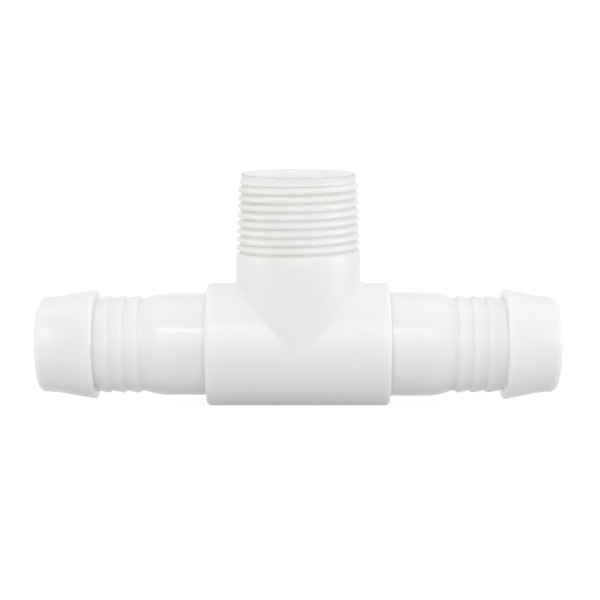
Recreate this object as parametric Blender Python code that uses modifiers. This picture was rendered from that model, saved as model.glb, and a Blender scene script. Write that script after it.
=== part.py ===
"""Three-quarter-inch tee: a moulded body with a threaded branch and two cemented hose barbs.

Metres, +Z up along the branch, X along the run, origin where the two axes cross.
"""

import math

import bmesh
import bpy
import numpy as np

MM = 0.001

# Sleeve of the body, along the run
SLEEVE_RADIUS = 13.55 * MM
SLEEVE_LENGTH = 40.2 * MM
SLEEVE_EDGE = 0.8 * MM

# Neck and threaded branch, up from the run
NECK_RADIUS = 13.65 * MM
NECK_TOP = 20.8 * MM
NECK_CONE = 1.4 * MM
NECK_CONE_DROP = 0.12 * MM
SADDLE_FILLET = 1.2 * MM
RUNOUT_SLOPE = 0.36
BRANCH_TOP = 37.8 * MM
THREAD_STEP = 0.1 * MM
THREAD_TAPER = 1 / 32
THREAD_RELIEF = 1.0 * MM
THREAD_RELIEF_DEPTH = 0.9 * MM
LEAD_STEP = 0.52 * MM
LEAD_BAND = 1.3 * MM
LEAD_RAMP = 0.9 * MM
LEAD_EDGE = 0.3 * MM

# Water ways
RUN_BORE = 8.1 * MM
BRANCH_BORE_MOUTH = 9.0 * MM
BRANCH_BORE_ROOT = 7.9 * MM
BRANCH_LIP = 1.3 * MM
BORE_BREAK = 0.4 * MM

# Hose barbs
TIP_TO_TIP = 114.2 * MM
STUB_RADIUS = 11.25 * MM
BARB_ROOT = 10.3 * MM
BARB_RIM = 12.05 * MM
BARB_RIM_AT = 45.9 * MM
BARB_RIM_LAND = 0.7 * MM
BARB_TIP = 10.5 * MM
BARB_CONE_END = 53.0 * MM
BARB_NOSE = 1.3 * MM
RIDGE_RADIUS = 10.8 * MM
RIDGE_FIRST = 35.1 * MM
RIDGE_PITCH = 3.28 * MM
RIDGE_COUNT = 3
FLARE_LENGTH = 5.4 * MM

# Cemented joints
FIT_GAP = 0.15 * MM
SEAT_GAP = 0.3 * MM
STOP_WALL = 1.7 * MM
MOUTH_CHAMFER = 0.75 * MM
MOUTH_DEPTH = 1.0 * MM
BEAD_RECESS = 0.3 * MM
BEAD_GAP = 0.1 * MM

# Facets round the run, and how they share the edge of the saddle patch
RUN_FACETS = 48
SADDLE_SIDE = RUN_FACETS * 5 // 8
SADDLE_FRONT = RUN_FACETS - SADDLE_SIDE
BRANCH_FACETS = 2 * (SADDLE_SIDE + SADDLE_FRONT)
ARC_STEPS = 4

SLEEVE_END = SLEEVE_LENGTH / 2
SOCKET_RADIUS = STUB_RADIUS + FIT_GAP
SOCKET_STOP = BRANCH_BORE_ROOT + STOP_WALL
SADDLE_EDGE = (NECK_RADIUS + SADDLE_FILLET + SLEEVE_END - SLEEVE_EDGE) / 2

WHITE_BODY = (0.83, 0.83, 0.815, 1.0)
WHITE_BARB = (0.86, 0.86, 0.85, 1.0)
CEMENT_TINT = (0.74, 0.73, 0.69, 1.0)


def clear_scene():
    """Empty the scene of every object."""
    for obj in list(bpy.data.objects):
        bpy.data.objects.remove(obj, do_unlink=True)


def plastic(name, colour, roughness):
    """A Principled material for one moulding."""
    material = bpy.data.materials.new(name)
    material.use_nodes = True
    shader = material.node_tree.nodes["Principled BSDF"]
    shader.inputs["Base Color"].default_value = colour
    shader.inputs["Roughness"].default_value = roughness
    shader.inputs["Metallic"].default_value = 0.0
    return material


def collection(name, cutters=False):
    """A new collection under the scene; cutters never render."""
    made = bpy.data.collections.new(name)
    made.hide_render = cutters
    bpy.context.scene.collection.children.link(made)
    return made


def add_object(name, mesh, home, parent=None, material=None):
    """Link a mesh as a named object."""
    obj = bpy.data.objects.new(name, mesh)
    home.objects.link(obj)
    obj.parent = parent
    if material:
        mesh.materials.append(material)
        mesh.shade_smooth()
        mesh.set_sharp_from_angle(angle=math.radians(30))
    else:
        obj.hide_render = True
        obj.display_type = "WIRE"
    return obj


def turned(name, profile, axis, facets, home, **options):
    """A solid turned about X or Z from a closed (along, radius) profile, facing out."""
    area = sum(
        a[0] * b[1] - b[0] * a[1] for a, b in zip(profile, profile[1:] + profile[:1])
    )
    points = profile if area > 0 else profile[::-1]
    if axis == "X":
        corners = [(along, 0.0, radius) for along, radius in points]
    else:
        corners = [(radius, 0.0, along) for along, radius in points]
    count = len(corners)
    mesh = bpy.data.meshes.new(name)
    edges = [(i, (i + 1) % count) for i in range(count)]
    mesh.from_pydata(corners, edges, [])
    obj = add_object(name, mesh, home, **options)
    screw = obj.modifiers.new("Turn", "SCREW")
    screw.axis = axis
    screw.angle = 2 * math.pi
    screw.steps = facets
    screw.render_steps = facets
    screw.use_merge_vertices = True
    screw.merge_threshold = 1e-6
    screw.use_smooth_shade = True
    return obj


def arc(centre, radius, start, stop, steps=ARC_STEPS):
    """Points of an arc in (along, radius) space, both ends included."""
    angles = np.radians(np.linspace(start, stop, steps + 1))
    return [
        (centre[0] + radius * math.cos(a), centre[1] + radius * math.sin(a))
        for a in angles
    ]


def blend_distance(points):
    """Signed distance to the sleeve and neck joined by a fillet that fades where they run parallel."""
    x, y, z = points.T
    round_run = np.hypot(y, z)
    round_branch = np.hypot(x, y)
    runout = RUNOUT_SLOPE * np.maximum(-z, 0.0)
    sleeve = round_run - SLEEVE_RADIUS
    neck = round_branch - NECK_RADIUS + runout
    parallel = y * y / np.maximum(round_run * round_branch, 1e-9)
    fillet = SADDLE_FILLET * np.maximum(1.0 - parallel**2, 0.02)
    near_sleeve = np.maximum(fillet - sleeve, 0.0)
    near_neck = np.maximum(fillet - neck, 0.0)
    plain = np.maximum(fillet, np.minimum(sleeve, neck))
    return plain - np.hypot(near_sleeve, near_neck)


def settle_on_blend(points):
    """Move points along the gradient until they lie on the blended surface."""
    step = 0.002 * MM
    for _ in range(8):
        value = blend_distance(points)
        slope = np.stack(
            [
                (blend_distance(points + step * axis) - blend_distance(points - step * axis))
                / (2 * step)
                for axis in np.eye(3)
            ],
            axis=1,
        )
        scale = np.maximum((slope**2).sum(axis=1), 0.25)
        points = points - (value / scale)[:, None] * slope
    return points


def on_sleeve(along, angle, radius=SLEEVE_RADIUS):
    """Point on the sleeve, with the angle measured from the top towards +Y."""
    return (along, radius * math.sin(angle), radius * math.cos(angle))


def patch_edge(index):
    """(along, angle) on the border of the saddle patch for one branch facet."""
    reach = math.pi * SADDLE_SIDE / RUN_FACETS
    turn = 2 * math.pi / RUN_FACETS
    half = SADDLE_SIDE // 2
    k = (index + half) % BRANCH_FACETS
    if k < SADDLE_SIDE:
        return SADDLE_EDGE, turn * (k - half)
    k -= SADDLE_SIDE
    if k < SADDLE_FRONT:
        return SADDLE_EDGE * (1 - 2 * k / SADDLE_FRONT), reach
    k -= SADDLE_FRONT
    if k < SADDLE_SIDE:
        return -SADDLE_EDGE, turn * (half - k)
    k -= SADDLE_SIDE
    return SADDLE_EDGE * (2 * k / SADDLE_FRONT - 1), -reach


def saddle_rows():
    """Rings of points from the neck, over the fillet, out to the patch border on the sleeve."""
    reach = 1.3 * SADDLE_FILLET
    down = np.linspace(1.0, 0.0, ARC_STEPS + 1)
    near = np.linspace(0.0, 1.0, ARC_STEPS + 1)[1:]
    far = np.linspace(0.0, 1.0, ARC_STEPS + 2)[1:]
    rows = np.zeros((len(down) + len(near) + len(far), BRANCH_FACETS, 3))
    for i in range(BRANCH_FACETS):
        theta = 2 * math.pi * i / BRANCH_FACETS
        x = NECK_RADIUS * math.cos(theta)
        y = NECK_RADIUS * math.sin(theta)
        foot = math.sqrt(max(SLEEVE_RADIUS**2 - y * y, 0.0))
        angle = math.atan2(y, foot)
        edge_x, edge_angle = patch_edge(i)
        span = math.hypot(edge_x - x, SLEEVE_RADIUS * (edge_angle - angle))
        turn = min(reach / span, 0.6)
        shares = [*(turn * near), *(turn + (1.0 - turn) * far)]
        for j, part in enumerate(down):
            rows[j, i] = (x, y, foot + reach * part)
        for j, share in enumerate(shares):
            along = x + share * (edge_x - x)
            rows[len(down) + j, i] = on_sleeve(along, angle + share * (edge_angle - angle))
    settled = settle_on_blend(rows[:-1].reshape(-1, 3)).reshape(-1, BRANCH_FACETS, 3)
    return [*settled, rows[-1]]


def branch_rows():
    """Rings of the neck shoulder and the tapered thread blank, from the end face down."""
    length = BRANCH_TOP - NECK_TOP
    crest_base = NECK_RADIUS - THREAD_STEP
    crest_end = crest_base - THREAD_TAPER * (length - THREAD_RELIEF)
    crest_lead = crest_end + THREAD_TAPER * (LEAD_BAND + LEAD_RAMP)
    groove = crest_base - THREAD_RELIEF_DEPTH
    band = crest_end - LEAD_STEP
    outline = [
        (band - LEAD_EDGE, BRANCH_TOP),
        (band, BRANCH_TOP - LEAD_EDGE),
        (band, BRANCH_TOP - LEAD_BAND),
        (crest_lead, BRANCH_TOP - LEAD_BAND - LEAD_RAMP),
        (crest_base, NECK_TOP + THREAD_RELIEF),
        (groove, NECK_TOP + THREAD_RELIEF * 0.6),
        (groove, NECK_TOP),
        (NECK_RADIUS - NECK_CONE_DROP, NECK_TOP),
        (NECK_RADIUS, NECK_TOP - NECK_CONE),
    ]
    theta = 2 * math.pi * np.arange(BRANCH_FACETS) / BRANCH_FACETS
    return [
        np.stack([r * np.cos(theta), r * np.sin(theta), np.full_like(theta, z)], axis=1)
        for r, z in outline
    ]


def bridge(mesh, upper, lower):
    """Quads between two closed rings of the same count."""
    count = len(upper)
    for i in range(count):
        j = (i + 1) % count
        mesh.faces.new((upper[i], lower[i], lower[j], upper[j]))


def tee_skin(name):
    """Outer skin of the body as one closed mesh: branch, saddle, sleeve and its two ends."""
    mesh = bmesh.new()
    rings = []
    for row in branch_rows() + saddle_rows():
        rings.append([mesh.verts.new(point) for point in row])
    for upper, lower in zip(rings, rings[1:]):
        bridge(mesh, upper, lower)
    mesh.faces.new(rings[0])
    border = rings[-1]

    # Underside strip between the two long edges of the patch
    half = SADDLE_SIDE // 2
    turn = 2 * math.pi / RUN_FACETS
    back = [border[half + k] for k in range(SADDLE_FRONT + 1)]
    front = [border[-half - k] for k in range(SADDLE_FRONT + 1)]
    strip = [back]
    for step in range(1, RUN_FACETS - SADDLE_SIDE):
        angle = turn * (half + step)
        columns = range(SADDLE_FRONT + 1)
        along = [SADDLE_EDGE * (1 - 2 * k / SADDLE_FRONT) for k in columns]
        strip.append([mesh.verts.new(on_sleeve(x, angle)) for x in along])
    strip.append(front)
    for upper, lower in zip(strip, strip[1:]):
        for k in range(SADDLE_FRONT):
            mesh.faces.new((upper[k], lower[k], lower[k + 1], upper[k + 1]))

    # Plain ends of the sleeve, rounded to the flat faces
    rounding = arc((SLEEVE_END - SLEEVE_EDGE, SLEEVE_RADIUS - SLEEVE_EDGE), SLEEVE_EDGE, 90, 0)
    for side in (1, -1):
        if side > 0:
            ring = [border[k % BRANCH_FACETS] for k in range(-half, half + 1)]
            ring += [row[0] for row in strip[1:-1]]
        else:
            start = half + SADDLE_FRONT
            ring = [border[start + k] for k in range(SADDLE_SIDE + 1)]
            ring += [row[-1] for row in strip[-2:0:-1]]
        for along, radius in rounding:
            outer = []
            for vert in ring:
                angle = math.atan2(vert.co.y, vert.co.z)
                outer.append(mesh.verts.new(on_sleeve(side * along, angle, radius)))
            bridge(mesh, ring, outer)
            ring = outer
        mesh.faces.new(ring)
    bmesh.ops.recalc_face_normals(mesh, faces=mesh.faces)
    data = bpy.data.meshes.new(name)
    mesh.to_mesh(data)
    mesh.free()
    return data


def run_cutter(home):
    """The bore along the run with a socket, stop and flared mouth at each end."""
    half = [
        (SOCKET_STOP, RUN_BORE),
        (SOCKET_STOP, SOCKET_RADIUS),
        (SLEEVE_END - MOUTH_DEPTH, SOCKET_RADIUS),
        (SLEEVE_END, SOCKET_RADIUS + MOUTH_CHAMFER),
        (SLEEVE_END + MOUTH_DEPTH, SOCKET_RADIUS + 2 * MOUTH_CHAMFER),
    ]
    mirrored = [(-along, radius) for along, radius in reversed(half)]
    ends = [(half[-1][0], 0.0), (-half[-1][0], 0.0)]
    return turned("run_cutter", mirrored + half + ends, "X", RUN_FACETS, home)


def branch_cutter(home):
    """The drafted bore of the branch, from inside the run out past the end face."""
    profile = [
        (0.0, 0.0),
        (0.0, BRANCH_BORE_ROOT),
        (BRANCH_TOP - BRANCH_LIP, BRANCH_BORE_MOUTH),
        (BRANCH_TOP + BRANCH_LIP, BRANCH_BORE_MOUTH + 2 * BRANCH_LIP),
        (BRANCH_TOP + BRANCH_LIP, 0.0),
    ]
    return turned("branch_cutter", profile, "Z", RUN_FACETS, home)


def cut(obj, cutter):
    """Take a cutter out of a body."""
    boolean = obj.modifiers.new("Cut " + cutter.name, "BOOLEAN")
    boolean.operation = "DIFFERENCE"
    boolean.solver = "EXACT"
    boolean.object = cutter


def barb_profile():
    """Closed profile of one barb: spigot, flare, ridges, rim, cone, nose and bore."""
    tip = TIP_TO_TIP / 2
    spigot = SOCKET_STOP + SEAT_GAP
    flare_end = RIDGE_FIRST - RIDGE_PITCH * 0.4
    drop = STUB_RADIUS - BARB_ROOT
    bow = (FLARE_LENGTH**2 + drop**2) / (2 * drop)
    sweep = math.degrees(math.asin(FLARE_LENGTH / bow))
    flare_centre = (flare_end - FLARE_LENGTH, STUB_RADIUS - bow)
    outer = [(spigot, STUB_RADIUS - BORE_BREAK), (spigot + BORE_BREAK, STUB_RADIUS)]
    outer += arc(flare_centre, bow, 90, 90 - sweep)
    for k in range(RIDGE_COUNT):
        back = RIDGE_FIRST + k * RIDGE_PITCH
        outer.append((back - 0.12 * RIDGE_PITCH, BARB_ROOT))
        outer.append((back, RIDGE_RADIUS))
        outer.append((back + 0.84 * RIDGE_PITCH, BARB_ROOT))
    outer.append((BARB_RIM_AT - 1.4 * BARB_RIM_LAND, BARB_ROOT))
    outer.append((BARB_RIM_AT - BARB_RIM_LAND, BARB_RIM - 0.3 * BARB_RIM_LAND))
    outer.append((BARB_RIM_AT - 0.5 * BARB_RIM_LAND, BARB_RIM))
    outer.append((BARB_RIM_AT, BARB_RIM))
    outer.append((BARB_CONE_END, BARB_TIP + 0.1 * (BARB_RIM - BARB_TIP)))
    outer += arc((tip - BARB_NOSE, BARB_TIP - BARB_NOSE), BARB_NOSE, 90, 0)
    inner = [
        (tip, RUN_BORE + BORE_BREAK),
        (tip - BORE_BREAK, RUN_BORE),
        (spigot + BORE_BREAK, RUN_BORE),
        (spigot, RUN_BORE + BORE_BREAK),
    ]
    return outer + inner


def bead_profile():
    """Closed profile of the cement bead, set back in the flared mouth of a socket."""
    slope = MOUTH_CHAMFER / MOUTH_DEPTH
    face = SLEEVE_END - BEAD_RECESS
    inner = STUB_RADIUS + BEAD_GAP
    lift = BEAD_GAP * math.hypot(1.0, slope)
    outer_face = SOCKET_RADIUS + slope * (face - SLEEVE_END + MOUTH_DEPTH) - lift
    apex = SLEEVE_END - MOUTH_DEPTH + (inner + BEAD_GAP + lift - SOCKET_RADIUS) / slope
    return [(face, inner), (face, outer_face), (apex, inner + BEAD_GAP), (apex, inner)]


def build():
    """Make the pieces, parented to the crossing of the run and branch axes."""
    clear_scene()
    home = collection("pvc_tee_fitting")
    cutters = collection("cutters", cutters=True)
    crossing = bpy.data.objects.new("axes_crossing", None)
    crossing.empty_display_size = 10 * MM
    home.objects.link(crossing)

    body_finish = plastic("body_white", WHITE_BODY, 0.42)
    body = add_object("tee_body", tee_skin("tee_body"), home, crossing, body_finish)
    cut(body, run_cutter(cutters))
    cut(body, branch_cutter(cutters))

    barb_finish = plastic("barb_white", WHITE_BARB, 0.25)
    bead_finish = plastic("cement", CEMENT_TINT, 0.3)
    for side, turn in (("right", 0.0), ("left", math.pi)):
        options = {"parent": crossing, "material": barb_finish}
        barb = turned(f"hose_barb_{side}", barb_profile(), "X", RUN_FACETS, home, **options)
        barb.rotation_euler.z = turn
        options["material"] = bead_finish
        bead = turned(f"cement_bead_{side}", bead_profile(), "X", RUN_FACETS, home, **options)
        bead.rotation_euler.z = turn


if __name__ == "__main__":
    build()
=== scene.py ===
"""Visual model of a white three-quarter-inch hose tee with a threaded branch."""

import logging
import math
from dataclasses import dataclass, field
from enum import Enum
from typing import Any, Callable, Optional, Sequence, Union

import bmesh
import bpy
import numpy as np
from mathutils import Matrix, Vector


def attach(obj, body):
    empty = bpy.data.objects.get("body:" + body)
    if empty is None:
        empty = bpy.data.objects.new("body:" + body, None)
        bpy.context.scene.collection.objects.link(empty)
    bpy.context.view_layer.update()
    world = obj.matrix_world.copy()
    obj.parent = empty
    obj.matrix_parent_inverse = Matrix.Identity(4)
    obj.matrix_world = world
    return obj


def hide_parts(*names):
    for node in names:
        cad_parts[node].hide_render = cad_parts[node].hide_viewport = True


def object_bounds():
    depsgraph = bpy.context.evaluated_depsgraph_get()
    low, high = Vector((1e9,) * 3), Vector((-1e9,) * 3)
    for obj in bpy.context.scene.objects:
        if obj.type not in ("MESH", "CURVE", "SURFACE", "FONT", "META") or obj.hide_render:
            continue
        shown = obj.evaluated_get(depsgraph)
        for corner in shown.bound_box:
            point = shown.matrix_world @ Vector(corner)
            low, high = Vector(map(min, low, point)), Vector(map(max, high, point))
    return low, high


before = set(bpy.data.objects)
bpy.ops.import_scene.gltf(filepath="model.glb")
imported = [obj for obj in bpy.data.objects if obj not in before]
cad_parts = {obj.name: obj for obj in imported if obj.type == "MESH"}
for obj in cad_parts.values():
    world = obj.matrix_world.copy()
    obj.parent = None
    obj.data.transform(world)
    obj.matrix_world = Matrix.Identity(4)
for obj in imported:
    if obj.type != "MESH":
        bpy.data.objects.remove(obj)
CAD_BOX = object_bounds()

LOG = logging.getLogger("tee")
MM = 0.001
TAU = 2 * math.pi
Colour = tuple[float, float, float]
Profile = list[tuple[float, float]]


class End(Enum):
    """The two ends of the run, by the sign of X."""

    LEFT = -1
    RIGHT = 1

    @property
    def label(self) -> str:
        """Lower-case name used in piece names."""
        return self.name.lower()


class Wire:
    """A node socket that joins in Python arithmetic by adding Math nodes."""

    def __init__(self, sheet: "Sheet", socket: bpy.types.NodeSocket) -> None:
        """Wrap one output socket of a node tree."""
        self.sheet = sheet
        self.socket = socket

    def _math(self, operation: str, *values: Any) -> "Wire":
        """Add one Math node and return its result."""
        return self.sheet.node("ShaderNodeMath", {"operation": operation}, dict(enumerate(values)))

    def __add__(self, other: Any) -> "Wire":
        """Sum."""
        return self._math("ADD", self, other)

    __radd__ = __add__

    def __sub__(self, other: Any) -> "Wire":
        """Difference."""
        return self._math("SUBTRACT", self, other)

    def __rsub__(self, other: Any) -> "Wire":
        """Reflected difference."""
        return self._math("SUBTRACT", other, self)

    def __mul__(self, other: Any) -> "Wire":
        """Product."""
        return self._math("MULTIPLY", self, other)

    __rmul__ = __mul__

    def __truediv__(self, other: Any) -> "Wire":
        """Quotient."""
        return self._math("DIVIDE", self, other)

    def __rtruediv__(self, other: Any) -> "Wire":
        """Reflected quotient."""
        return self._math("DIVIDE", other, self)

    def __abs__(self) -> "Wire":
        """Absolute value."""
        return self._math("ABSOLUTE", self)

    def fraction(self) -> "Wire":
        """Part after the decimal point, counted up from the floor."""
        return self._math("FRACT", self)

    def least(self, other: Any) -> "Wire":
        """Smaller of two values."""
        return self._math("MINIMUM", self, other)

    def most(self, other: Any) -> "Wire":
        """Larger of two values."""
        return self._math("MAXIMUM", self, other)

    def cosine(self) -> "Wire":
        """Cosine of an angle in radians."""
        return self._math("COSINE", self)

    def sine(self) -> "Wire":
        """Sine of an angle in radians."""
        return self._math("SINE", self)

    def ramp(self, start: Any, stop: Any, kind: str = "SMOOTHSTEP") -> "Wire":
        """Rise from 0 to 1 between two values.

        Args:
            start: value at which the result is 0.
            stop: value at which the result is 1.
            kind: interpolation of the Map Range node.

        Returns:
            The clamped result.
        """
        settings = {"interpolation_type": kind, "clamp": True}
        inputs = {"Value": self, "From Min": start, "From Max": stop, "To Min": 0.0, "To Max": 1.0}
        return self.sheet.node("ShaderNodeMapRange", settings, inputs)


class Sheet:
    """A node tree with one way of adding nodes to it."""

    def __init__(self, tree: bpy.types.NodeTree) -> None:
        """Hold the tree that new nodes go to."""
        self.tree = tree

    def add(
        self,
        kind: str,
        settings: Optional[dict[str, Any]] = None,
        inputs: Optional[dict[Union[str, int], Any]] = None,
    ) -> bpy.types.Node:
        """Add a node, set its options first and then its sockets.

        Args:
            kind: the node's type name.
            settings: properties of the node.
            inputs: socket name or index to a value or a wire.

        Returns:
            The node.
        """
        made = self.tree.nodes.new(kind)
        for name, value in (settings or {}).items():
            setattr(made, name, value)
        for name, value in (inputs or {}).items():
            self.feed(made.inputs[name], value)
        return made

    def node(
        self,
        kind: str,
        settings: Optional[dict[str, Any]] = None,
        inputs: Optional[dict[Union[str, int], Any]] = None,
        output: Union[str, int] = 0,
    ) -> Wire:
        """Add a node and return one of its outputs.

        Args:
            kind: the node's type name.
            settings: properties of the node.
            inputs: socket name or index to a value or a wire.
            output: name or index of the output to return.

        Returns:
            The chosen output as a wire.
        """
        return Wire(self, self.add(kind, settings, inputs).outputs[output])

    def feed(self, socket: bpy.types.NodeSocket, value: Any) -> None:
        """Link a wire to a socket, or set the socket's own value.

        Args:
            socket: input to feed.
            value: a wire, or a plain value.
        """
        if isinstance(value, Wire):
            self.tree.links.new(value.socket, socket)
        else:
            socket.default_value = value

    def axes(self, place: Wire) -> list[Wire]:
        """Split a position into its three coordinates."""
        return [Wire(self, out) for out in self.add("ShaderNodeSeparateXYZ", inputs={0: place}).outputs]

    def blend(self, factor: Any, first: Colour, second: Colour) -> Wire:
        """Mix two colours by a factor."""
        inputs = {0: factor, 6: (*first, 1.0), 7: (*second, 1.0)}
        return self.node("ShaderNodeMix", {"data_type": "RGBA"}, inputs, 2)


@dataclass(frozen=True)
class MouldedPlastic:
    """Rigid white plastic as it leaves the mould, with faint mottling, grain and handling marks, and
    painted shade darkening the thread grooves.
    """

    name: str
    colour: Colour
    shade: Colour
    roughness: float
    gloss_drift: float
    grain: float
    turned: bool = False
    parting: bool = False
    glow: float = 0.85
    glow_depth: float = 1.3 * MM
    refraction: float = 1.53
    cloud_scale: float = 95.0
    speck_scale: float = 1500.0
    fine_scale: float = 4200.0
    lathe_scale: float = 900.0
    seam_width: tuple[float, float] = (0.05 * MM, 0.16 * MM)
    seam_branch: tuple[float, float] = (13.9 * MM, 14.1 * MM)
    seam_outside: tuple[float, float] = (10.6 * MM, 11.4 * MM)

    def material(self) -> bpy.types.Material:
        """Build the node material.

        Returns:
            The finished material.
        """
        made = bpy.data.materials.new(self.name)
        made.use_nodes = True
        sheet = Sheet(made.node_tree)
        shader = made.node_tree.nodes["Principled BSDF"]
        place = sheet.node("ShaderNodeTexCoord", output="Object")
        cloud = self._noise(sheet, place, self.cloud_scale, 3.0)
        speck = self._noise(sheet, place, self.speck_scale)
        fine = self._noise(sheet, place, self.fine_scale)
        # The depth in the thread darkens the colour towards the shade tone, which is painted shade in the
        # grooves. Cloud and speck add random mottling.
        recess = sheet.node("ShaderNodeAttribute", {"attribute_name": "recess"}, output="Fac")
        mottle_and_groove_shade = (recess * 0.1 + cloud.ramp(0.5, 0.78) * 0.35 + speck.ramp(0.66, 0.8) * 0.16).least(1.0)
        sheet.feed(shader.inputs["Base Color"], sheet.blend(mottle_and_groove_shade, self.colour, self.shade))
        rough = self.roughness + (cloud - 0.5) * self.gloss_drift + (speck - 0.5) * 0.05
        height = fine * 0.35 + speck * 0.4 + cloud * 0.8
        x, y, z = sheet.axes(place)
        if self.turned:
            stretch = sheet.node("ShaderNodeCombineXYZ", inputs={0: x * 6.0, 1: y * 0.25, 2: z * 0.25})
            lathe = self._noise(sheet, stretch, self.lathe_scale)
            height = height + lathe * 0.9
            rough = rough + (lathe - 0.5) * 0.1
        if self.parting:
            branch = z.ramp(*self.seam_branch)
            reach = branch * abs(x) + (1.0 - branch) * abs(z)
            seam = (1.0 - abs(y).ramp(*self.seam_width)) * reach.ramp(*self.seam_outside)
            height = height + seam * 14.0
            rough = rough + seam * 0.06
        sheet.feed(shader.inputs["Roughness"], rough)
        inputs = {"Strength": 1.0, "Distance": self.grain, "Height": height}
        sheet.feed(shader.inputs["Normal"], sheet.node("ShaderNodeBump", inputs=inputs))
        shader.inputs["IOR"].default_value = self.refraction
        shader.inputs["Subsurface Weight"].default_value = self.glow
        shader.inputs["Subsurface Scale"].default_value = self.glow_depth
        shader.inputs["Subsurface Radius"].default_value = (1.0, 1.0, 1.0)
        return made

    @staticmethod
    def _noise(sheet: Sheet, place: Wire, scale: float, detail: float = 2.0) -> Wire:
        """Plain noise at one scale."""
        return sheet.node("ShaderNodeTexNoise", inputs={"Vector": place, "Scale": scale, "Detail": detail})


@dataclass(frozen=True)
class CuredCement:
    """Clear solvent cement, cured glossy and a little yellow over the white plastic."""

    name: str
    colour: Colour
    thick: Colour
    roughness: float
    refraction: float = 1.48
    pool_scale: float = 420.0
    pool_height: float = 0.03 * MM

    def material(self) -> bpy.types.Material:
        """Build the node material.

        Returns:
            The finished material.
        """
        made = bpy.data.materials.new(self.name)
        made.use_nodes = True
        sheet = Sheet(made.node_tree)
        shader = made.node_tree.nodes["Principled BSDF"]
        place = sheet.node("ShaderNodeTexCoord", output="Object")
        inputs = {"Vector": place, "Scale": self.pool_scale, "Detail": 2.0}
        pool = sheet.node("ShaderNodeTexNoise", inputs=inputs)
        sheet.feed(shader.inputs["Base Color"], sheet.blend(pool.ramp(0.35, 0.7), self.colour, self.thick))
        sheet.feed(shader.inputs["Roughness"], self.roughness + (pool - 0.5) * 0.2)
        inputs = {"Strength": 1.0, "Distance": self.pool_height, "Height": pool}
        sheet.feed(shader.inputs["Normal"], sheet.node("ShaderNodeBump", inputs=inputs))
        shader.inputs["IOR"].default_value = self.refraction
        return made


BODY_WHITE = MouldedPlastic(
    "body_white", (0.90, 0.894, 0.879), (0.83, 0.82, 0.79), 0.32, 0.10, 0.004 * MM, parting=True
)
# The curl is coloured darker than the body. This is painted shade, standing for the shadow line under the
# ragged edge of the branch end.
TRIM_SHADED = MouldedPlastic(
    "trimmed_white_shaded", (0.82, 0.81, 0.785), (0.70, 0.69, 0.66), 0.6, 0.15, 0.03 * MM, glow=0.0
)
BARB_WHITE = MouldedPlastic(
    "barb_white", (0.90, 0.895, 0.881), (0.84, 0.83, 0.805), 0.17, 0.08, 0.006 * MM, turned=True
)
CEMENT = CuredCement("cement", (0.78, 0.775, 0.74), (0.70, 0.685, 0.63), 0.2)


def arc(centre: tuple[float, float], radius: float, start: float, stop: float, steps: int) -> Profile:
    """Points along an arc.

    Args:
        centre: (along, radius) of the arc's centre.
        radius: radius of the arc.
        start: first angle in degrees.
        stop: last angle in degrees.
        steps: number of chords.

    Returns:
        The points, both ends included.
    """
    angles = np.radians(np.linspace(start, stop, steps + 1))
    return [(centre[0] + radius * math.cos(a), centre[1] + radius * math.sin(a)) for a in angles]


def rounded(profile: Profile, radii: Sequence[float], steps: int = 4) -> Profile:
    """Round the corners of an open profile with quadratic arcs.

    Args:
        profile: corner points.
        radii: how far back from each corner its rounding starts.
        steps: chords in each rounding.

    Returns:
        The rounded profile.
    """
    points = [np.array(p) for p in profile]
    out: Profile = [profile[0]]
    for before, here, after, radius in zip(points, points[1:], points[2:], radii[1:-1]):
        if radius <= 0.0:
            out.append(tuple(here))
            continue
        first = here + (before - here) * min(radius / np.linalg.norm(before - here), 0.48)
        last = here + (after - here) * min(radius / np.linalg.norm(after - here), 0.48)
        for t in np.linspace(0.0, 1.0, steps + 1):
            out.append(tuple((1 - t) ** 2 * first + 2 * t * (1 - t) * here + t * t * last))
    out.append(profile[-1])
    return out


def densify(profile: Profile, longest: float) -> Profile:
    """Split the long spans of an open profile.

    Args:
        profile: corner points.
        longest: longest span to leave.

    Returns:
        The profile with points added.
    """
    out: Profile = []
    for a, b in zip(profile, profile[1:]):
        parts = max(1, math.ceil(math.dist(a, b) / longest))
        out += [(a[0] + (b[0] - a[0]) * k / parts, a[1] + (b[1] - a[1]) * k / parts) for k in range(parts)]
    return out + [profile[-1]]


def turned_solid(name: str, profile: Profile, axis: str, facets: int) -> bpy.types.Mesh:
    """Turn a closed (along, radius) profile into a closed mesh.

    Args:
        name: name of the mesh.
        profile: closed loop of points; those at radius 0 become poles.
        axis: "X" or "Z".
        facets: segments round the axis.

    Returns:
        The mesh, faces pointing out.
    """
    build = bmesh.new()
    rings = []
    for along, radius in profile:
        ring = []
        for k in range(1 if radius == 0.0 else facets):
            c, s = radius * math.cos(TAU * k / facets), radius * math.sin(TAU * k / facets)
            ring.append(build.verts.new((along, s, c) if axis == "X" else (c, s, along)))
        rings.append(ring)
    for upper, lower in zip(rings, rings[1:] + rings[:1]):
        if len(upper) == 1 and len(lower) == 1:
            continue
        for k in range(facets):
            corners = (upper[k % len(upper)], lower[k % len(lower)])
            corners += (lower[(k + 1) % len(lower)], upper[(k + 1) % len(upper)])
            build.faces.new(list(dict.fromkeys(corners)))
    bmesh.ops.recalc_face_normals(build, faces=build.faces)
    mesh = bpy.data.meshes.new(name)
    build.to_mesh(mesh)
    build.free()
    return mesh


def add_piece(
    name: str, mesh: bpy.types.Mesh, finish: bpy.types.Material, crease: float
) -> bpy.types.Object:
    """Put a finished mesh in the scene and let it ride with the fitting.

    Args:
        name: piece name.
        mesh: closed mesh in the CAD frame.
        finish: its material.
        crease: angle in degrees past which an edge stays sharp.

    Returns:
        The object.
    """
    mesh.name = name
    mesh.materials.clear()
    mesh.materials.append(finish)
    mesh.shade_smooth()
    mesh.set_sharp_from_angle(angle=math.radians(crease))
    piece = bpy.data.objects.new(name, mesh)
    bpy.context.scene.collection.objects.link(piece)
    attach(piece, "root")
    return piece


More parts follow.
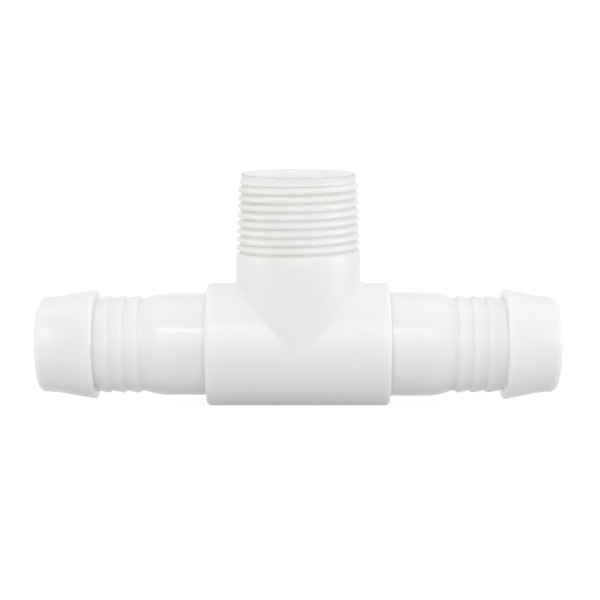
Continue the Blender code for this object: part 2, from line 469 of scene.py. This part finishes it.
def plain_mesh(obj: bpy.types.Object) -> bpy.types.Mesh:
    """Evaluate an object's modifiers into a plain mesh and drop the object.

    Args:
        obj: temporary object with live modifiers.

    Returns:
        The evaluated mesh.
    """
    bpy.context.view_layer.update()
    graph = bpy.context.evaluated_depsgraph_get()
    mesh = bpy.data.meshes.new_from_object(obj.evaluated_get(graph))
    obj.modifiers.clear()
    bpy.data.objects.remove(obj, do_unlink=True)
    return mesh


def weld(mesh: bpy.types.Mesh, reach: float = 0.0) -> None:
    """Merge the points of a mesh that all but meet, and turn its faces outwards.

    Args:
        mesh: closed mesh, changed in place.
        reach: points nearer than this become one.
    """
    build = bmesh.new()
    build.from_mesh(mesh)
    if reach > 0.0:
        bmesh.ops.remove_doubles(build, verts=build.verts, dist=reach)
        bmesh.ops.dissolve_degenerate(build, edges=build.edges, dist=reach)
    bmesh.ops.recalc_face_normals(build, faces=build.faces)
    build.to_mesh(mesh)
    build.free()


class RuleTree:
    """A Geometry Nodes tree with named number inputs and one geometry output."""

    def __init__(self, name: str, sizes: dict[str, float]) -> None:
        """Make the tree with one float input per size.

        Args:
            name: name of the tree.
            sizes: value of each named input.
        """
        self.sizes = sizes
        self.tree = bpy.data.node_groups.new(name, "GeometryNodeTree")
        self.sheet = Sheet(self.tree)
        face = self.tree.interface
        face.new_socket("Geometry", in_out="OUTPUT", socket_type="NodeSocketGeometry")
        self.sockets = {
            key: face.new_socket(key, in_out="INPUT", socket_type="NodeSocketFloat") for key in sizes
        }
        entry = self.sheet.add("NodeGroupInput")
        self.inputs = {key: Wire(self.sheet, entry.outputs[key]) for key in sizes}

    def close(self, geometry: Wire, finish: bpy.types.Material) -> None:
        """End the tree in Realize Instances and Set Material.

        Args:
            geometry: the shape that the tree makes.
            finish: material for all of it.
        """
        solid = self.sheet.node("GeometryNodeRealizeInstances", inputs={0: geometry})
        dressed = self.sheet.node("GeometryNodeSetMaterial", inputs={"Geometry": solid, "Material": finish})
        self.sheet.add("NodeGroupOutput", inputs={0: dressed})

    def mesh(self) -> bpy.types.Mesh:
        """Run the tree once.

        Returns:
            Its result as a plain mesh.
        """
        name = self.tree.name
        obj = bpy.data.objects.new(name, bpy.data.meshes.new(name))
        modifier = obj.modifiers.new(name, "NODES")
        modifier.node_group = self.tree
        for key, value in self.sizes.items():
            modifier[self.sockets[key].identifier] = value
        bpy.context.scene.collection.objects.link(obj)
        return plain_mesh(obj)


@dataclass
class BranchThread:
    """Taper pipe thread on the branch, as a grid wrapped round the branch axis by rule."""

    base: float = 19.3 * MM
    end: float = 37.1 * MM
    pitch: float = 1.8143 * MM
    start: float = 0.229
    depth: float = 0.84 * MM
    crest_end: float = 13.03 * MM
    taper: float = 1 / 32
    lead_radius: float = 12.5 * MM
    lead: float = 1.3 * MM
    runout: float = 20.75 * MM
    runout_length: float = 0.5 * MM
    neck: float = 13.65 * MM
    collar: float = 1.45 * MM
    collar_slope: float = 0.16
    swell: float = 0.12 * MM
    flank: tuple[float, float] = (0.08, 0.62)
    flank_soft: tuple[float, float] = (0.05, 0.7)
    flank_share: float = 0.55
    lead_fade: tuple[float, float] = (0.45, 1.15)
    lead_rise: tuple[float, float] = (0.5, 1.25)
    collar_release: float = 1.25
    rows: int = 216

    def surface(self, facets: int, finish: bpy.types.Material) -> bpy.types.Mesh:
        """Threaded outer surface between the neck and the lead-in band.

        Args:
            facets: segments round the branch.
            finish: material set by the tree.

        Returns:
            An open tube that starts and ends on plain rings.
        """
        sizes = {
            "Base": self.base,
            "Length": self.end - self.base,
            "Pitch": self.pitch,
            "Start": self.start,
            "Depth": self.depth,
            "Crest at end": self.crest_end,
            "Taper": self.taper,
            "Lead radius": self.lead_radius,
            "Lead": self.lead,
            "Run-out": self.runout - self.base,
            "Run-out length": self.runout_length,
            "Neck": self.neck,
            "Collar": self.collar,
            "Collar slope": self.collar_slope,
            "Swell": self.swell,
        }
        rule = RuleTree("branch_thread", sizes)
        sheet, size = rule.sheet, rule.inputs
        grid = {"Size X": 1.0, "Size Y": 1.0, "Vertices X": self.rows, "Vertices Y": facets + 1}
        flat = sheet.node("GeometryNodeMeshGrid", inputs=grid)
        place = sheet.node("GeometryNodeInputPosition")
        across, around, _ = sheet.axes(place)
        turn = around + 0.5
        up = (across + 0.5) * size["Length"]
        from_end = size["Length"] - up
        crest = size["Crest at end"] + size["Taper"] * from_end
        phase = (up / size["Pitch"] - turn + size["Start"]).fraction()
        away = abs(phase - 0.5) * 2.0
        tooth = away.ramp(*self.flank, "LINEAR") * self.flank_share
        tooth = tooth + away.ramp(*self.flank_soft) * (1.0 - self.flank_share)
        groove = up - (phase - 0.5) * size["Pitch"]
        fade = from_end.ramp(*(size["Lead"] * share for share in self.lead_fade))
        fade = fade * groove.ramp(size["Run-out"] - size["Run-out length"], size["Run-out"])
        flared = crest + (1.0 - up.ramp(0.0, size["Collar"], "LINEAR")) * size["Swell"]
        threaded = flared - (1.0 - tooth) * size["Depth"] * fade
        rise = from_end.ramp(*(size["Lead"] * share for share in self.lead_rise), "LINEAR")
        lead = size["Lead radius"] + rise * (flared - size["Lead radius"])
        clear = up.ramp(size["Collar"], size["Collar"] * self.collar_release) * size["Depth"]
        collar = size["Neck"] - up.least(size["Collar"]) * size["Collar slope"] + clear
        radius = threaded.least(lead).least(collar)
        angle = turn * TAU
        spots = {0: radius * angle.cosine(), 1: radius * angle.sine(), 2: up + size["Base"]}
        moved = sheet.node(
            "GeometryNodeSetPosition",
            inputs={"Geometry": flat, "Position": sheet.node("ShaderNodeCombineXYZ", inputs=spots)},
        )
        welded = sheet.node("GeometryNodeMergeByDistance", inputs={"Geometry": moved, "Distance": 1e-6})
        rule.close(welded, finish)
        return rule.mesh()


@dataclass
class TeeBody:
    """Centre moulding: sleeve, neck blended into it, threaded branch and the water ways."""

    sleeve_radius: float = 13.55 * MM
    sleeve_end: float = 20.1 * MM
    sleeve_edge: float = 0.85 * MM
    neck_radius: float = 13.65 * MM
    fillet: float = 1.1 * MM
    runout_slope: float = 0.36
    branch_top: float = 37.8 * MM
    branch_edge: float = 0.35 * MM
    branch_bore: float = 9.0 * MM
    branch_bore_root: float = 7.9 * MM
    branch_lip: float = 1.3 * MM
    run_bore: float = 8.1 * MM
    socket_radius: float = 11.4 * MM
    socket_stop: float = 9.6 * MM
    mouth_chamfer: float = 0.75 * MM
    mouth_depth: float = 1.0 * MM
    mouth_break: float = 0.1 * MM
    cut_past: float = 1.0 * MM
    run_facets: int = 96
    arc_steps: int = 8
    thread: BranchThread = field(default_factory=BranchThread)

    @property
    def side(self) -> int:
        """Facets of the sleeve along each end edge of the saddle patch."""
        return self.run_facets * 5 // 8

    @property
    def front(self) -> int:
        """Facets of the branch along each long edge of the saddle patch."""
        return self.run_facets - self.side

    @property
    def branch_facets(self) -> int:
        """Facets round the branch."""
        return 2 * self.run_facets

    @property
    def patch_end(self) -> float:
        """Where the saddle patch ends along the run."""
        return (self.neck_radius + self.fillet + self.sleeve_end - self.sleeve_edge) / 2

    def blend_distance(self, points: np.ndarray) -> np.ndarray:
        """Signed distance to sleeve and neck joined by a fillet that fades where they run parallel.

        Args:
            points: positions, one per row.

        Returns:
            One distance per point.
        """
        x, y, z = points.T
        round_run, round_branch = np.hypot(y, z), np.hypot(x, y)
        sleeve = round_run - self.sleeve_radius
        neck = round_branch - self.neck_radius + self.runout_slope * np.maximum(-z, 0.0)
        parallel = y * y / np.maximum(round_run * round_branch, 1e-9)
        fillet = self.fillet * np.maximum(1.0 - parallel**2, 0.02)
        corner = np.hypot(np.maximum(fillet - sleeve, 0.0), np.maximum(fillet - neck, 0.0))
        return np.maximum(fillet, np.minimum(sleeve, neck)) - corner

    def settle(self, points: np.ndarray) -> np.ndarray:
        """Move points along the gradient until they lie on the blended surface.

        Args:
            points: positions near the surface.

        Returns:
            The settled positions.
        """
        step = 0.002 * MM
        for _ in range(10):
            value = self.blend_distance(points)
            ahead = np.stack([self.blend_distance(points + step * axis) for axis in np.eye(3)], axis=1)
            behind = np.stack([self.blend_distance(points - step * axis) for axis in np.eye(3)], axis=1)
            slope = (ahead - behind) / (2 * step)
            scale = np.maximum((slope**2).sum(axis=1), 0.25)
            points = points - (value / scale)[:, None] * slope
        return points

    def on_sleeve(self, along: float, angle: float, radius: float) -> tuple[float, float, float]:
        """Point at an angle from the top of the sleeve towards +Y."""
        return (along, radius * math.sin(angle), radius * math.cos(angle))

    def patch_border(self, index: int) -> tuple[float, float]:
        """Point of the saddle patch's border that one branch facet runs to.

        Args:
            index: facet round the branch, from +X.

        Returns:
            (along, angle) on the sleeve.
        """
        turn, half = TAU / self.run_facets, self.side // 2
        k = (index + half) % self.branch_facets
        if k < self.side:
            return self.patch_end, turn * (k - half)
        k -= self.side
        if k < self.front:
            return self.patch_end * (1 - 2 * k / self.front), turn * half
        k -= self.front
        if k < self.side:
            return -self.patch_end, turn * (half - k)
        k -= self.side
        return self.patch_end * (2 * k / self.front - 1), -turn * half

    def saddle_rows(self) -> list[np.ndarray]:
        """Rings from the neck, over the fillet, out to the patch border on the sleeve.

        Returns:
            One array of points per ring.
        """
        down = np.linspace(1.0, 0.0, self.arc_steps + 1)
        out = np.linspace(0.0, 1.0, self.arc_steps + 1)[1:]
        far = np.linspace(0.0, 1.0, 7)[1:]
        rows = np.zeros((len(down) + len(out) + len(far), self.branch_facets, 3))
        reach = 1.35 * self.fillet
        for i in range(self.branch_facets):
            theta = TAU * i / self.branch_facets
            x, y = self.neck_radius * math.cos(theta), self.neck_radius * math.sin(theta)
            foot = math.sqrt(max(self.sleeve_radius**2 - y * y, 0.0))
            angle = math.atan2(y, foot)
            edge_x, edge_angle = self.patch_border(i)
            span = math.hypot(edge_x - x, self.sleeve_radius * (edge_angle - angle))
            near = min(reach / span, 0.6)
            shares = [near * part for part in out] + [near + (1.0 - near) * part for part in far]
            for j, part in enumerate(down):
                rows[j, i] = (x, y, foot + reach * part)
            for j, share in enumerate(shares):
                spot = x + share * (edge_x - x), angle + share * (edge_angle - angle)
                rows[len(down) + j, i] = self.on_sleeve(*spot, self.sleeve_radius)
        settled = self.settle(rows[:-1].reshape(-1, 3)).reshape(-1, self.branch_facets, 3)
        return [*settled, rows[-1]]

    def neck_ring(self) -> np.ndarray:
        """Ring where the threaded collar meets the plain neck."""
        return self.ring(self.thread.neck, self.thread.base)

    def end_rows(self) -> list[np.ndarray]:
        """Rings over the lead-in band and its rounded edge to the flat end of the branch.

        Returns:
            One array of points per ring.
        """
        radius, edge = self.thread.lead_radius, self.branch_edge
        outline = [(self.thread.end, radius)]
        outline += arc((self.branch_top - edge, radius - edge), edge, 90, 0, 5)
        return [self.ring(across, height) for height, across in outline]

    def ring(self, radius: float, height: float) -> np.ndarray:
        """Points round the branch at one height.

        Args:
            radius: distance from the branch axis.
            height: place along it.

        Returns:
            One row per point.
        """
        theta = TAU * np.arange(self.branch_facets) / self.branch_facets
        level = np.full_like(theta, height)
        return np.stack([radius * np.cos(theta), radius * np.sin(theta), level], axis=1)

    @staticmethod
    def bridge(build: bmesh.types.BMesh, rings: Sequence[Sequence[Any]]) -> None:
        """Add quads between neighbouring closed rings.

        Args:
            build: mesh under construction.
            rings: vertices of each ring, in order.
        """
        for upper, lower in zip(rings, rings[1:]):
            for i in range(len(upper)):
                j = (i + 1) % len(upper)
                build.faces.new((upper[i], lower[i], lower[j], upper[j]))

    def skin(self, finish: bpy.types.Material) -> bpy.types.Mesh:
        """Closed outer skin of the moulding with the thread in place.

        Args:
            finish: material for the threaded surface.

        Returns:
            The mesh, faces pointing out.
        """
        build = bmesh.new()
        build.from_mesh(self.thread.surface(self.branch_facets, finish))
        top = [[build.verts.new(p) for p in row] for row in self.end_rows()]
        self.bridge(build, top)
        build.faces.new(top[-1])
        rings = [[build.verts.new(p) for p in row] for row in [self.neck_ring(), *self.saddle_rows()]]
        self.bridge(build, rings)
        self.sleeve(build, rings[-1])
        bmesh.ops.remove_doubles(build, verts=build.verts, dist=2e-6)
        bmesh.ops.recalc_face_normals(build, faces=build.faces)
        mesh = bpy.data.meshes.new("tee_skin")
        build.to_mesh(mesh)
        build.free()
        return mesh

    def sleeve(self, build: bmesh.types.BMesh, border: list[Any]) -> None:
        """Close the sleeve below and beyond the saddle patch.

        Args:
            build: mesh under construction.
            border: vertices of the patch's outer ring.
        """
        half, turn = self.side // 2, TAU / self.run_facets
        columns = range(self.front + 1)
        strip = [[border[half + k] for k in columns]]
        for step in range(1, self.front):
            angle = turn * (half + step)
            along = [self.patch_end * (1 - 2 * k / self.front) for k in columns]
            strip.append([build.verts.new(self.on_sleeve(x, angle, self.sleeve_radius)) for x in along])
        strip.append([border[-half - k] for k in columns])
        for upper, lower in zip(strip, strip[1:]):
            for k in range(self.front):
                build.faces.new((upper[k], lower[k], lower[k + 1], upper[k + 1]))
        edge = self.sleeve_edge
        rounding = [(self.patch_end * 0.4 + self.sleeve_end * 0.6 - edge, self.sleeve_radius)]
        rounding += arc((self.sleeve_end - edge, self.sleeve_radius - edge), edge, 90, 0, 6)
        for end in End:
            if end is End.RIGHT:
                ring = [border[k % self.branch_facets] for k in range(-half, half + 1)]
                ring += [row[0] for row in strip[1:-1]]
            else:
                ring = [border[half + self.front + k] for k in range(self.side + 1)]
                ring += [row[-1] for row in strip[-2:0:-1]]
            rings = [ring]
            for along, radius in rounding:
                angles = [math.atan2(vertex.co.y, vertex.co.z) for vertex in ring]
                spots = [self.on_sleeve(end.value * along, angle, radius) for angle in angles]
                rings.append([build.verts.new(spot) for spot in spots])
            self.bridge(build, rings)
            build.faces.new(rings[-1])

    def water_ways(self) -> list[bpy.types.Object]:
        """Cutters for the run with its sockets and for the drafted branch bore.

        Returns:
            The cutter objects.
        """
        over, mouth = self.cut_past, self.socket_radius + self.mouth_chamfer
        half = [
            (self.socket_stop, self.run_bore),
            (self.socket_stop, self.socket_radius),
            (self.sleeve_end - self.mouth_depth, self.socket_radius),
            (self.sleeve_end - self.mouth_break, mouth),
            (self.sleeve_end, mouth + self.mouth_break),
            (self.sleeve_end + over, mouth + self.mouth_break + over),
        ]
        run = [(-half[-1][0], 0.0)] + [(-x, r) for x, r in reversed(half)] + half + [(half[-1][0], 0.0)]
        top, lip = self.branch_top, self.branch_lip
        branch = [
            (0.0, 0.0),
            (0.0, self.branch_bore_root),
            (top - lip, self.branch_bore),
            (top, self.branch_bore + lip),
            (top + over, self.branch_bore + lip + over),
            (top + over, 0.0),
        ]
        made = []
        for name, profile, axis in (("run_way", run, "X"), ("branch_way", branch, "Z")):
            cutter = bpy.data.objects.new(name, turned_solid(name, profile, axis, self.run_facets))
            bpy.context.scene.collection.objects.link(cutter)
            made.append(cutter)
        return made

    def mark_recess(self, mesh: bpy.types.Mesh) -> None:
        """Store how deep each point lies in the thread, which the finish darkens as painted shade in the
        grooves.

        Args:
            mesh: mesh of the moulding, which gets the attribute.
        """
        spots = np.empty(len(mesh.vertices) * 3)
        mesh.vertices.foreach_get("co", spots)
        x, y, z = spots.reshape(-1, 3).T
        crest = self.thread.crest_end + self.thread.taper * (self.thread.end - z)
        inside = (z > self.thread.base) & (z < self.thread.end - self.thread.lead)
        deep = np.clip((crest - np.hypot(x, y)) / self.thread.depth, 0.0, 1.0)
        deep = np.where(inside & (np.hypot(x, y) > self.branch_bore + 0.5 * MM), deep, 0.0)
        mesh.attributes.new("recess", "FLOAT", "POINT").data.foreach_set("value", deep.astype(np.float32))

    def build(self, finish: bpy.types.Material) -> bpy.types.Object:
        """Make the moulding in place of its CAD node.

        Args:
            finish: material of the moulding.

        Returns:
            The piece.
        """
        blank = bpy.data.objects.new("tee_blank", self.skin(finish))
        bpy.context.scene.collection.objects.link(blank)
        cutters = self.water_ways()
        for cutter in cutters:
            boolean = blank.modifiers.new(cutter.name, "BOOLEAN")
            boolean.operation, boolean.solver, boolean.object = "DIFFERENCE", "EXACT", cutter
        mesh = plain_mesh(blank)
        for cutter in cutters:
            bpy.data.objects.remove(cutter, do_unlink=True)
        weld(mesh, 3e-6)
        self.mark_recess(mesh)
        piece = add_piece("tee_moulding", mesh, finish, 42.0)
        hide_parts("tee_body")
        return piece


@dataclass
class HoseBarb:
    """Turned hose insert: spigot in the socket, stub, flare, small ridges, tall barb and nose."""

    end: End
    tip: float = 57.1 * MM
    spigot: float = 9.9 * MM
    stub_radius: float = 11.25 * MM
    stub_swell: float = 0.0
    joint: float = 20.1 * MM
    joint_ramp: float = 0.9 * MM
    root: float = 10.3 * MM
    rim: float = 12.05 * MM
    rim_at: float = 45.9 * MM
    rim_back: float = 45.0 * MM
    rim_shift: float = 0.0
    tip_radius: float = 10.5 * MM
    cone_end: float = 53.0 * MM
    nose: float = 1.45 * MM
    ridge: float = 10.8 * MM
    ridge_first: float = 35.1 * MM
    ridge_pitch: float = 3.28 * MM
    ridge_count: int = 3
    ridge_back: float = 0.14
    ridge_run: float = 0.82
    flare: float = 5.4 * MM
    flare_gap: float = 0.4
    bore: float = 8.1 * MM
    spigot_chamfer: float = 0.4 * MM
    mouth_round: float = 0.35 * MM
    facets: int = 128

    def outline(self) -> Profile:
        """Closed profile of the insert, edges lightly rounded.

        Returns:
            (along, radius) points round the section.
        """
        flare_end = self.ridge_first - self.ridge_pitch * self.flare_gap
        chamfer, lip = self.spigot_chamfer, self.mouth_round
        stub = self.stub_radius + self.stub_swell
        drop = stub - self.root
        bow = (self.flare**2 + drop**2) / (2 * drop)
        sweep = math.degrees(math.asin(self.flare / bow))
        curve = arc((flare_end - self.flare, stub - bow), bow, 90, 90 - sweep, 10)
        corners: list[tuple[float, float, float]] = [
            (self.spigot, self.stub_radius - chamfer, 0.0),
            (self.spigot + chamfer, self.stub_radius, 0.1 * MM),
            (self.joint - self.joint_ramp, self.stub_radius, 0.2 * MM),
            (self.joint, stub, 0.2 * MM),
        ]
        corners += [(x, r, 0.0) for x, r in curve[:-1]] + [(*curve[-1], 0.15 * MM)]
        for k in range(self.ridge_count):
            back = self.ridge_first + k * self.ridge_pitch
            corners.append((back - self.ridge_back * self.ridge_pitch, self.root, 0.2 * MM))
            corners.append((back, self.ridge, 0.3 * MM))
            corners.append((back + self.ridge_run * self.ridge_pitch, self.root, 0.4 * MM))
        back = self.rim_back + self.rim_shift
        corners += [
            (back - 0.12 * MM, self.root, 0.15 * MM),
            (back, self.rim - 0.1 * MM, 0.1 * MM),
            (back + 0.3 * MM, self.rim, 0.25 * MM),
            (self.rim_at + self.rim_shift, self.rim - 0.1 * MM, 0.4 * MM),
            (self.cone_end, self.tip_radius + 0.16 * MM, 1.2 * MM),
            (self.tip - self.nose, self.tip_radius, 0.0),
        ]
        outer = rounded([(x, r) for x, r, _ in corners], [c for _, _, c in corners])
        outer += arc((self.tip - self.nose, self.tip_radius - self.nose), self.nose, 90, 0, 10)[1:]
        inner = [(self.tip, self.bore + lip)]
        inner += arc((self.tip - lip, self.bore + lip), lip, 0, -90, 4)[1:]
        inner += [(self.spigot + chamfer, self.bore), (self.spigot, self.bore + chamfer)]
        return densify(outer + inner, 1.6 * MM)

    def build(self, finish: bpy.types.Material) -> bpy.types.Object:
        """Make the insert in place of its CAD node.

        Args:
            finish: material of the insert.

        Returns:
            The piece.
        """
        name = f"barb_insert_{self.end.label}"
        mesh = turned_solid(name, self.outline(), "X", self.facets)
        if self.end is End.LEFT:
            mesh.transform(Matrix.Rotation(math.pi, 4, "Z"))
        piece = add_piece(name, mesh, finish, 32.0)
        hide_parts(f"hose_barb_{self.end.label}")
        return piece


def swept_ring(
    rule: RuleTree,
    counts: tuple[int, int],
    noise: dict[str, float],
    route: Callable[[Wire, Wire, Wire], dict[int, Any]],
    girth: Callable[[Wire], Wire],
    finish: bpy.types.Material,
) -> bpy.types.Mesh:
    """Sweep a round section along a circle that noise pushes out of true.

    Args:
        rule: tree with the inputs Radius, Thickness and Seed.
        counts: points round the circle and round the section.
        noise: scale, detail and roughness of the noise.
        route: place on the path, from the circle's x and y and the noise.
        girth: share of the thickness, from the noise.
        finish: material set by the tree.

    Returns:
        The closed ring, faces pointing out.
    """
    sheet, size = rule.sheet, rule.inputs
    circle = {"Resolution": counts[0], "Radius": size["Radius"]}
    path = sheet.node("GeometryNodeCurvePrimitiveCircle", inputs=circle)
    spot = sheet.node("GeometryNodeInputPosition")
    field_inputs = {"Vector": spot, "W": size["Seed"], **noise}
    lump = sheet.node("ShaderNodeTexNoise", {"noise_dimensions": "4D"}, field_inputs)
    x, y, _ = sheet.axes(spot)
    place = sheet.node("ShaderNodeCombineXYZ", inputs=route(x, y, lump))
    moved = sheet.node("GeometryNodeSetPosition", inputs={"Geometry": path, "Position": place})
    small = {"Resolution": counts[1], "Radius": size["Thickness"]}
    section = sheet.node("GeometryNodeCurvePrimitiveCircle", inputs=small)
    swollen = sheet.node("GeometryNodeSetCurveRadius", inputs={"Curve": moved, "Radius": girth(lump)})
    ring = sheet.node("GeometryNodeCurveToMesh", inputs={"Curve": swollen, "Profile Curve": section})
    rule.close(ring, finish)
    mesh = rule.mesh()
    weld(mesh)
    return mesh


@dataclass
class CementBead:
    """Uneven ring of cured cement, set back in the flared mouth of a socket."""

    end: End
    face: float = 19.66 * MM
    radius: float = 11.56 * MM
    thick: float = 0.15 * MM
    waver: float = 0.12 * MM
    seed: float = 3.0

    def build(self, finish: bpy.types.Material) -> bpy.types.Object:
        """Make the ring in place of its CAD node.

        Args:
            finish: material of the cement.

        Returns:
            The piece.
        """
        sizes = {"Radius": self.radius, "Thickness": self.thick, "Seed": self.seed}
        sizes["Face"] = self.face * self.end.value
        rule = RuleTree(f"bead_rule_{self.end.label}", sizes)
        mesh = swept_ring(
            rule,
            (180, 10),
            {"Scale": 330.0, "Detail": 2.0},
            lambda x, y, lump: {0: rule.inputs["Face"] + (lump - 0.5) * self.waver, 1: x, 2: y},
            lambda lump: 0.75 + lump * 0.5,
            finish,
        )
        piece = add_piece(f"cement_ring_{self.end.label}", mesh, finish, 60.0)
        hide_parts(f"cement_bead_{self.end.label}")
        return piece


@dataclass
class TrimFlash:
    """Ragged curl of trimmed plastic left round the end face of the branch."""

    radius: float = 12.28 * MM
    height: float = 37.68 * MM
    thick: float = 0.22 * MM
    waver: float = 0.3 * MM
    spread: float = 0.05
    seed: float = 7.0

    def torn(self, rule: RuleTree, x: Wire, y: Wire, rag: Wire) -> dict[int, Any]:
        """Place on the torn edge.

        Args:
            rule: tree of the curl.
            x: first coordinate on the true circle.
            y: second coordinate on the true circle.
            rag: noise there.

        Returns:
            The three coordinates by socket.
        """
        grow = 1.0 + (rag - 0.5) * self.spread
        return {0: x * grow, 1: y * grow, 2: rule.inputs["Height"] + (rag - 0.5) * self.waver}

    def build(self, finish: bpy.types.Material) -> bpy.types.Object:
        """Make the curl and seat it on the end face.

        Args:
            finish: material of the curl.

        Returns:
            The piece.
        """
        sizes = {"Radius": self.radius, "Thickness": self.thick, "Seed": self.seed, "Height": self.height}
        rule = RuleTree("flash_rule", sizes)
        mesh = swept_ring(
            rule,
            (420, 6),
            {"Scale": 700.0, "Detail": 4.0, "Roughness": 0.7},
            lambda x, y, rag: self.torn(rule, x, y, rag),
            lambda rag: 0.2 + rag.ramp(0.53, 0.62) * 2.2,
            finish,
        )
        piece = add_piece("branch_end_flash", mesh, finish, 70.0)
        return piece


@dataclass(frozen=True)
class SoftPanel:
    """Rectangular studio lamp; its glow is a radiance, where 1 is white."""

    name: str
    spot: tuple[float, float, float]
    size: tuple[float, float]
    glow: float
    tint: tuple[float, float, float] = (1.0, 1.0, 1.0)


@dataclass
class Studio:
    """White sweep, soft lamps and the camera of the product picture."""

    floor: float
    target: tuple[float, float, float] = (0.376 * MM, 0.0, 9.88 * MM)
    elevation: float = 8.63
    distance: float = 346.4 * MM
    lens: float = 94.08
    sensor: float = 36.0
    world_light: float = 0.66
    floor_reach: float = 6.0
    floor_pale: tuple[float, float, float] = (0.69, 0.68, 0.69)
    floor_glow: float = 1.17
    floor_shown: float = 0.8
    panels: tuple[SoftPanel, ...] = (
        SoftPanel("overhead", (0.05, 0.05, 0.75), (0.8, 0.7), 0.37),
        SoftPanel("front_strip", (-0.088, -0.60, 0.538), (0.43, 0.13), 3.2),
        SoftPanel("front_fill", (0.0, -0.90, 0.42), (0.9, 0.5), 1.14),
        SoftPanel("right_panel", (0.8, -0.15, 0.12), (0.4, 0.3), 3.3, (0.97, 0.97, 1.0)),
        SoftPanel("left_panel", (-0.8, -0.15, 0.12), (0.4, 0.3), 2.0, (1.0, 0.97, 0.93)),
    )

    def camera(self) -> None:
        """Place the camera at the picture's viewing angle."""
        data = bpy.data.cameras.new("camera")
        data.sensor_width = self.sensor
        data.lens = self.lens
        data.clip_start = 0.01
        view = bpy.data.objects.new("camera", data)
        bpy.context.scene.collection.objects.link(view)
        rise = math.radians(self.elevation)
        target = Vector(self.target)
        view.location = target + self.distance * Vector((0.0, -math.cos(rise), math.sin(rise)))
        view.rotation_euler = (target - view.location).to_track_quat("-Z", "Y").to_euler()
        bpy.context.scene.camera = view

    def lamp(self, panel: SoftPanel) -> None:
        """Add a soft panel aimed at the fitting.

        Args:
            panel: the lamp's place, size and glow.
        """
        data = bpy.data.lights.new(panel.name, "AREA")
        data.shape = "RECTANGLE"
        data.size, data.size_y = panel.size
        data.energy = panel.glow * math.pi * panel.size[0] * panel.size[1]
        data.color = panel.tint
        lamp = bpy.data.objects.new(panel.name, data)
        lamp.location = panel.spot
        aim = Vector(self.target) - Vector(panel.spot)
        lamp.rotation_euler = aim.to_track_quat("-Z", "Y").to_euler()
        bpy.context.scene.collection.objects.link(lamp)

    def surround(self) -> None:
        """White world for the camera and reflections, softer for the light it gives."""
        world = bpy.data.worlds.new("surround")
        bpy.context.scene.world = world
        world.use_nodes = True
        sheet = Sheet(world.node_tree)
        back = world.node_tree.nodes["Background"]
        strength = self.world_light + self.seen(sheet) * (1.0 - self.world_light)
        sheet.feed(back.inputs["Strength"], strength)
        back.inputs["Color"].default_value = (1.0, 1.0, 1.0, 1.0)

    @staticmethod
    def seen(sheet: Sheet) -> Wire:
        """Tell the rays that carry the picture from those that carry light.

        Args:
            sheet: tree to add the nodes to.

        Returns:
            1 for a ray of the picture and 0 for a ray of light.
        """
        outputs = sheet.add("ShaderNodeLightPath").outputs
        kinds = ("Is Camera Ray", "Is Glossy Ray", "Is Transmission Ray")
        camera, glossy, clear = (Wire(sheet, outputs[kind]) for kind in kinds)
        return camera.most(glossy).most(clear)

    def ground(self) -> None:
        """Pale floor that shows white and keeps the shadow."""
        mesh = bpy.data.meshes.new("floor")
        signs = ((-1, -1), (1, -1), (1, 1), (-1, 1))
        corners = [(i * self.floor_reach, j * self.floor_reach, self.floor) for i, j in signs]
        mesh.from_pydata(corners, [], [(0, 1, 2, 3)])
        made = bpy.data.materials.new("floor_white")
        made.use_nodes = True
        sheet = Sheet(made.node_tree)
        made.node_tree.nodes.remove(made.node_tree.nodes["Principled BSDF"])
        pale = (*self.floor_pale, 1.0)
        matt = sheet.node("ShaderNodeBsdfDiffuse", inputs={"Color": pale})
        glow = sheet.node("ShaderNodeEmission", inputs={"Strength": self.floor_glow})
        share = self.seen(sheet) * self.floor_shown
        mixed = sheet.node("ShaderNodeMixShader", inputs={0: share, 1: matt, 2: glow})
        output = made.node_tree.nodes["Material Output"]
        sheet.feed(output.inputs["Surface"], mixed)
        mesh.materials.append(made)
        floor = bpy.data.objects.new("floor", mesh)
        bpy.context.scene.collection.objects.link(floor)

    def build(self) -> None:
        """Set the view, the lamps, the floor and the surround."""
        bpy.context.scene.view_settings.view_transform = "Standard"
        self.camera()
        self.surround()
        self.ground()
        for panel in self.panels:
            self.lamp(panel)


def main() -> None:
    """Build the fitting and its studio, piece by piece."""
    logging.basicConfig(level=logging.INFO, format="%(name)s: %(message)s")
    body, barb, cement = BODY_WHITE.material(), BARB_WHITE.material(), CEMENT.material()
    pieces = [TeeBody().build(body), TrimFlash().build(TRIM_SHADED.material())]
    inserts = (
        HoseBarb(End.LEFT, rim_shift=-0.42 * MM),
        HoseBarb(End.RIGHT, rim_shift=0.42 * MM, stub_swell=0.2 * MM, rim=12.2 * MM, tip_radius=10.6 * MM),
    )
    for insert in inserts:
        pieces.append(insert.build(barb))
        pieces.append(CementBead(insert.end, seed=3.0 + insert.end.value).build(cement))
    for piece in pieces:
        LOG.info("%s: %d faces", piece.name, len(piece.data.polygons))
    Studio(floor=CAD_BOX[0][2]).build()


if __name__ == "__main__":
    main()
